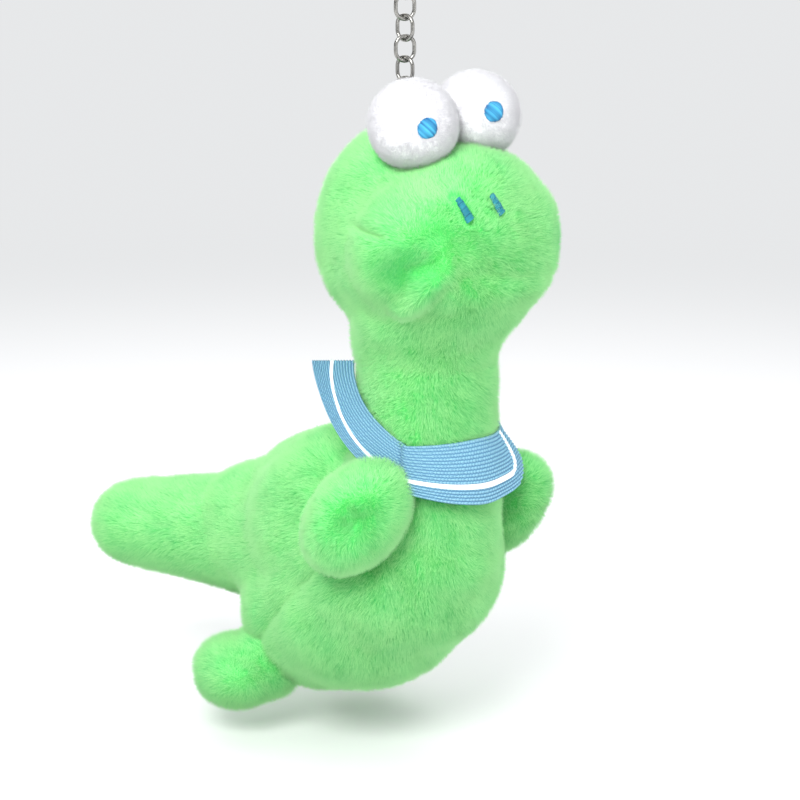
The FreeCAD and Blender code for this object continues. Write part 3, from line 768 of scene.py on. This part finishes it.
tail = stuffed("tail_skin", chain_of_eggs([
    ((-4.5, 52.0, 29.4), (13.0, 12.0, 15.2)),
    ((-7.0, 62.0, 28.5), (12.8, 12.0, 13.6)),
    ((-11.0, 73.0, 28.0), (12.2, 11.5, 11.8)),
    ((-14.5, 82.0, 27.5), (11.6, 11.0, 10.7)),
    ((-18.0, 89.5, 27.3), (10.6, 10.2, 9.5)),
], 15), smooth=14)
dress(tail, GREEN_SKIN, "tail")
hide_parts("tail_side_right", "tail_side_left", "tail_filling")
pile("tail_pile", tail, 20, 2.4, 0.155, tailwards, 600, GREEN_PILE, "tail")

# ------------------------------------------------------------------ collar

# angle from the throat towards the toy's right, then distance from the neck's axis and height
INNER = [(-172, 16.6, 84.0), (-150, 16.6, 83.0), (-115, 16.8, 77.5), (-83, 17.0, 70.0), (-57, 17.2, 65.8),
         (-26, 17.0, 65.2), (0, 17.0, 65.5), (26, 17.0, 65.2), (57, 17.2, 64.8), (83, 17.0, 70.0),
         (100, 16.8, 73.7), (115, 16.6, 77.5), (132, 16.2, 81.0)]
OUTER = [(-172, 22.5, 80.0), (-150, 23.0, 80.0), (-132, 24.0, 77.0), (-100, 23.0, 66.5), (-83, 22.6, 61.0),
         (-57, 21.8, 55.4), (-46, 21.5, 53.6), (-26, 20.9, 51.6), (0, 20.8, 50.6), (26, 20.8, 52.0),
         (57, 21.8, 55.0), (83, 22.6, 61.0), (100, 23.6, 66.5), (108, 24.3, 70.0), (120, 25.4, 76.5),
         (132, 26.1, 81.0)]
BAND_WIDE, RIBS, TIP_ROUND = 13.2, 18, 6.4
TIP_ANGLE, CUT_ANGLE = -46.0, 132.0


def between(table, at):
    return np.stack([np.interp(at, table[:, 0], table[:, i]) for i in (1, 2)], -1)


def smooth_table(table, passes):
    """Rounds the corners of a coarse table without moving it far."""
    at = np.linspace(-172, 132, 305)
    values = between(np.array(table, float), at)
    for _ in range(passes):
        values[1:-1] = (values[:-2] + values[1:-1] * 2 + values[2:]) / 4
    return np.column_stack([at, values])


INNER, OUTER = smooth_table(INNER, 8), smooth_table(OUTER, 60)


def band_place(angle, share, inset):
    """Places on the collar's cloth: share 0 is the inner edge and 1 the outer edge."""
    low, high = between(INNER, angle), between(OUTER, angle)
    reach = low[..., 0] * (1 - share) + high[..., 0] * share + 0.9 * np.sin(math.pi * share) - inset
    height = low[..., 1] * (1 - share) + high[..., 1] * share
    fold = 60.0 - 5.0 * share
    reach = reach - 0.9 * np.exp(-((angle - fold) / 1.8) ** 2) + 0.45 / (1 + np.exp(angle - fold))
    if inset == 0.0:
        reach = reach + 2.4 * share * np.clip((-15.0 - angle) / 31.0, 0, 1) ** 1.3
    turn = np.radians(angle)
    return np.stack([-reach * np.sin(turn), 1.0 - reach * np.cos(turn), height], -1)


def band_cloth(angle, share, lift, inset=0.0):
    """The same, lifted off the cloth along its normal."""
    here = band_place(angle, share, inset)
    along = band_place(angle + 0.4, share, inset) - band_place(angle - 0.4, share, inset)
    over = band_place(angle, share + 0.01, inset) - band_place(angle, share - 0.01, inset)
    normal = unit(np.cross(over, along))
    outward = here - np.array([0, 1.0, 0])
    outward[..., 2] = 6.0
    normal = normal * np.sign((normal * outward).sum(-1, keepdims=True))
    return here + normal * np.asarray(lift)[..., None]


def plate(name, top, bottom):
    """A closed sheet from two grids of points, with 'along' and 'across' for its weave."""
    rows, columns = top.shape[:2]
    shift = rows * columns
    index = np.arange(shift).reshape(rows, columns)
    a, b, c, d = index[:-1, :-1], index[:-1, 1:], index[1:, :-1], index[1:, 1:]
    faces = [np.stack([a, c, d, b], -1).reshape(-1, 4), shift + np.stack([a, b, d, c], -1).reshape(-1, 4)]
    rim = np.concatenate([index[0], index[1:, -1], index[-1, -2::-1], index[-2:0:-1, 0]])
    after = np.roll(rim, -1)
    faces.append(np.stack([rim, after, shift + after, shift + rim], -1))
    points = np.concatenate([top.reshape(-1, 3), bottom.reshape(-1, 3)])
    return mesh_object(name, points, np.concatenate(faces).tolist())


def store(thing, name, values):
    layer = thing.data.attributes.new(name, "FLOAT", "POINT")
    layer.data.foreach_set("value", np.asarray(values, np.float32).ravel())


def band(name, first, last, inset, rows):
    """A ribbed strip of the collar from one angle to another; its last end has a rounded corner."""
    share = np.linspace(0, 1, RIBS * 6 + 1)
    bend = np.clip((share * BAND_WIDE - (BAND_WIDE - TIP_ROUND)) / TIP_ROUND, 0, 1)
    drawn_back = np.degrees(TIP_ROUND * (1 - np.sqrt(1 - bend ** 2)) / 21.0) * np.sign(first - last)
    angle = first + np.linspace(0, 1, rows)[:, None] * (last + drawn_back - first)[None]
    share = np.tile(share, (rows, 1))
    rib = 0.19 * (1 - np.cos(2 * math.pi * RIBS * share)) * (0.9 + 0.1 * np.cos(np.radians(angle) * 21.0 * 8))
    top = band_cloth(angle, share, rib, inset)
    bottom = band_cloth(angle, share, np.full(share.shape, -0.6), inset)
    thing = plate(name, top, bottom)
    store(thing, "along", np.tile(np.radians(angle) * 21.0, (2, 1)))
    store(thing, "across", np.tile(share * RIBS, (2, 1)))
    dress(thing, BAND_BLUE, "torso")
    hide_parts("collar")
    return thing


band("collar_band", CUT_ANGLE, TIP_ANGLE, 0.0, 300)
band("collar_band_under", -172.0, -28.0, 1.2, 220)


def stripe_path():
    """The printed line: along the outer edge, round the tip's corner and up the tip, in mm and share."""
    edge, radius = 3.9, 3.0
    run = math.radians(CUT_ANGLE - TIP_ANGLE) * 21.0 - edge
    level = BAND_WIDE - edge
    straight = [(s, level) for s in np.linspace(0.0, run - radius, 160)]
    corner = [(run - radius + radius * math.sin(t), level - radius + radius * math.cos(t))
              for t in np.linspace(0.12, math.pi / 2, 12)]
    rise = [(run, y) for y in np.linspace(level - radius - 0.4, 0.3, 24)]
    return np.array(straight + corner + rise)


path = stripe_path()
near_nape = np.clip((22.0 - path[:, 0]) / 22.0, 0, 1)
path[:, 1] -= 3.6 * near_nape ** 1.5
heading = unit(np.gradient(path, axis=0))
beside = np.stack([-heading[:, 1], heading[:, 0]], -1)
grid = path[:, None, :] + beside[:, None, :] * np.linspace(-0.54, 0.54, 9)[None, :, None]
angle = CUT_ANGLE - np.degrees(grid[..., 0] / 21.0)
share = grid[..., 1] / BAND_WIDE
rib = 0.19 * (1 - np.cos(2 * math.pi * RIBS * share)) * 0.55
stripe = plate("collar_print", band_cloth(angle, share, rib + 0.26), band_cloth(angle, share, rib * 0 - 0.05))
dress(stripe, BAND_WHITE, "torso")
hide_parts("collar_stripe")

# ------------------------------------------------------------------ metal and cord keep the CAD shapes

for name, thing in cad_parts.items():
    material = None
    if name.startswith("chain_link"):
        material = STEEL
    elif name == "key_ring":
        material = RING_STEEL
    elif name == "hanging_loop":
        material = CORD
    if material is not None:
        thing.data.materials.clear()
        thing.data.materials.append(material)
        thing.data.polygons.foreach_set("use_smooth", [True] * len(thing.data.polygons))

# ------------------------------------------------------------------ stage, light and camera

def plane(name, size, place, colour):
    mesh = bpy.data.meshes.new(name)
    half = size / 2
    mesh.from_pydata([(-half, -half, 0), (half, -half, 0), (half, half, 0), (-half, half, 0)], [], [(0, 1, 2, 3)])
    thing = bpy.data.objects.new(name, mesh)
    thing.location = place
    bpy.context.collection.objects.link(thing)
    material = bpy.data.materials.new(name)
    material.use_nodes = True
    material.node_tree.nodes["Principled BSDF"].inputs["Base Color"].default_value = (*colour, 1)
    material.node_tree.nodes["Principled BSDF"].inputs["Roughness"].default_value = 0.9
    mesh.materials.append(material)
    return thing


floor = plane("floor", 12.0, (0, 0, -0.206), (0.80, 0.80, 0.80))
PALE = (0.80, 0.81, 0.82)


def fade_into_distance(material, colour):
    """The floor turns into the plain backdrop's colour away from the object."""
    tree = material.node_tree
    where = node(tree, "ShaderNodeTexCoord")
    far = node(tree, "ShaderNodeVectorMath", operation="LENGTH")
    tree.links.new(where.outputs["Object"], far.inputs[0])
    share = node(tree, "ShaderNodeMapRange", interpolation_type="SMOOTHERSTEP")
    share.inputs["From Min"].default_value = 0.12
    share.inputs["From Max"].default_value = 0.75
    tree.links.new(far.outputs["Value"], share.inputs["Value"])
    ray = node(tree, "ShaderNodeLightPath")
    seen = node(tree, "ShaderNodeMath", operation="MULTIPLY")
    tree.links.new(share.outputs["Result"], seen.inputs[0])
    tree.links.new(ray.outputs["Is Camera Ray"], seen.inputs[1])
    plain = node(tree, "ShaderNodeEmission")
    plain.inputs["Color"].default_value = (*colour, 1)
    mixed = node(tree, "ShaderNodeMixShader")
    tree.links.new(seen.outputs[0], mixed.inputs["Fac"])
    tree.links.new(tree.nodes["Principled BSDF"].outputs[0], mixed.inputs[1])
    tree.links.new(plain.outputs[0], mixed.inputs[2])
    tree.links.new(mixed.outputs[0], tree.nodes["Material Output"].inputs["Surface"])


fade_into_distance(floor.data.materials[0], PALE)


def lamp(name, place, aim, size, power):
    light = bpy.data.lights.new(name, "AREA")
    light.shape = "DISK"
    light.size = size
    light.energy = power
    thing = bpy.data.objects.new(name, light)
    thing.location = place
    thing.rotation_euler = (Vector(aim) - Vector(place)).to_track_quat("-Z", "Y").to_euler()
    bpy.context.collection.objects.link(thing)
    return thing


MIDDLE = (0, 0.01, -0.12)
lamp("key", (-0.70, -0.45, 0.50), MIDDLE, 0.5, 10)
lamp("fill", (0.35, -0.85, 0.15), MIDDLE, 0.9, 2.5)
lamp("back", (0.5, 0.8, 0.5), MIDDLE, 0.7, 3)
world = bpy.data.worlds.new("soft_room")
world.use_nodes = True


def light_the_world(tree):
    """Even light for cloth, the plain backdrop for the camera, and light and dark bands for steel to show."""
    even = tree.nodes["Background"]
    even.inputs["Color"].default_value = (0.97, 0.98, 1.0, 1)
    even.inputs["Strength"].default_value = 1.04
    seen = node(tree, "ShaderNodeBackground")
    seen.inputs["Color"].default_value = (*PALE, 1)
    bands = node(tree, "ShaderNodeBackground")
    where = node(tree, "ShaderNodeTexCoord")
    split = node(tree, "ShaderNodeSeparateXYZ")
    tree.links.new(where.outputs["Generated"], split.inputs[0])
    ramp = node(tree, "ShaderNodeValToRGB")
    ramp.color_ramp.elements[0].position = 0.30
    ramp.color_ramp.elements[0].color = (0.10, 0.10, 0.11, 1)
    ramp.color_ramp.elements[1].position = 0.95
    ramp.color_ramp.elements[1].color = (0.9, 0.9, 0.92, 1)
    for position, grey in ((0.50, 0.75), (0.58, 0.16), (0.72, 0.12), (0.80, 1.0)):
        step = ramp.color_ramp.elements.new(position)
        step.color = (grey, grey, grey, 1)
    half = node(tree, "ShaderNodeMapRange")
    half.inputs["From Min"].default_value = -1.0
    tree.links.new(split.outputs["Z"], half.inputs["Value"])
    tree.links.new(half.outputs["Result"], ramp.inputs["Fac"])
    tree.links.new(ramp.outputs["Color"], bands.inputs["Color"])
    ray = node(tree, "ShaderNodeLightPath")
    first = node(tree, "ShaderNodeMixShader")
    tree.links.new(ray.outputs["Is Glossy Ray"], first.inputs["Fac"])
    tree.links.new(even.outputs[0], first.inputs[1])
    tree.links.new(bands.outputs[0], first.inputs[2])
    second = node(tree, "ShaderNodeMixShader")
    tree.links.new(ray.outputs["Is Camera Ray"], second.inputs["Fac"])
    tree.links.new(first.outputs[0], second.inputs[1])
    tree.links.new(seen.outputs[0], second.inputs[2])
    tree.links.new(second.outputs[0], tree.nodes["World Output"].inputs["Surface"])


light_the_world(world.node_tree)
bpy.context.scene.world = world
bpy.context.scene.view_settings.view_transform = "Standard"

turn, tilt = math.radians(42), math.radians(13)
toward = np.array([-math.sin(turn) * math.cos(tilt), -math.cos(turn) * math.cos(tilt), math.sin(tilt)])
rightward = np.array([math.cos(turn), -math.sin(turn), 0.0])
target = to_frame(np.array([0, 0, 71.8]) + rightward * (-27 / 4.29))
camera_data = bpy.data.cameras.new("camera")
camera_data.sensor_width = 36
camera_data.lens = 36 * 650 / (800 / 4.29)
camera_data.clip_start = 0.01
camera = bpy.data.objects.new("camera", camera_data)
camera.location = Vector(target + toward * 0.650)
camera.rotation_euler = Vector(-toward).to_track_quat("-Z", "Y").to_euler()
bpy.context.collection.objects.link(camera)
bpy.context.scene.camera = camera
